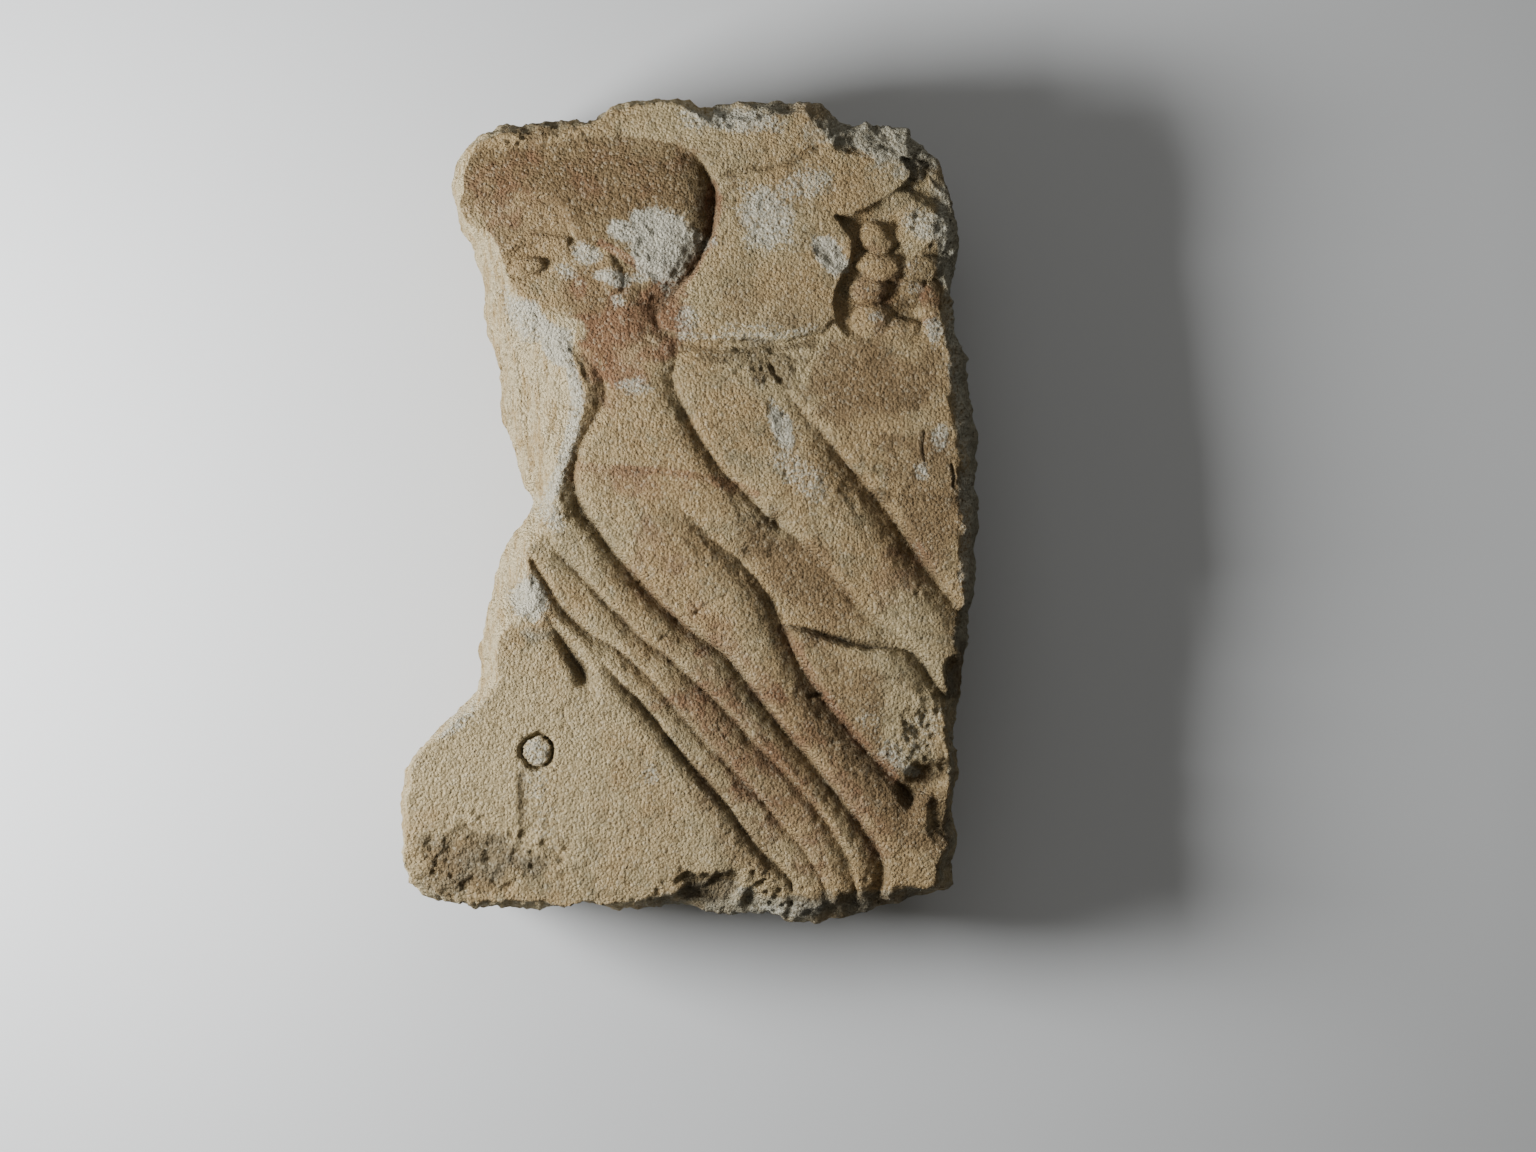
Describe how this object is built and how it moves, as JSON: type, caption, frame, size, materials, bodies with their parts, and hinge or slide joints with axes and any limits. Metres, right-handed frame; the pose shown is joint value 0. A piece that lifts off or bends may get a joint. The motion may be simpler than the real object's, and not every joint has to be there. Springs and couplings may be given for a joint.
{
  "type": "relief fragment",
  "caption": "Broken limestone slab with a bowed figure in sunk relief, a smooth cap of hair, a near arm with pleats beside it, and part of a second figure's hand.",
  "frame": {"origin": "middle of the bounding box's base, on the flat back of the slab", "axes": "+Z out of the back towards the carved front, +Y up the carving, +X to the viewer's right"},
  "size_m": [0.1564, 0.2232, 0.0501],
  "materials": {
    "limestone": "matte"
  },
  "bodies": {
    "root": {"relief_fragment": "limestone"}
  },
  "joints": []
}
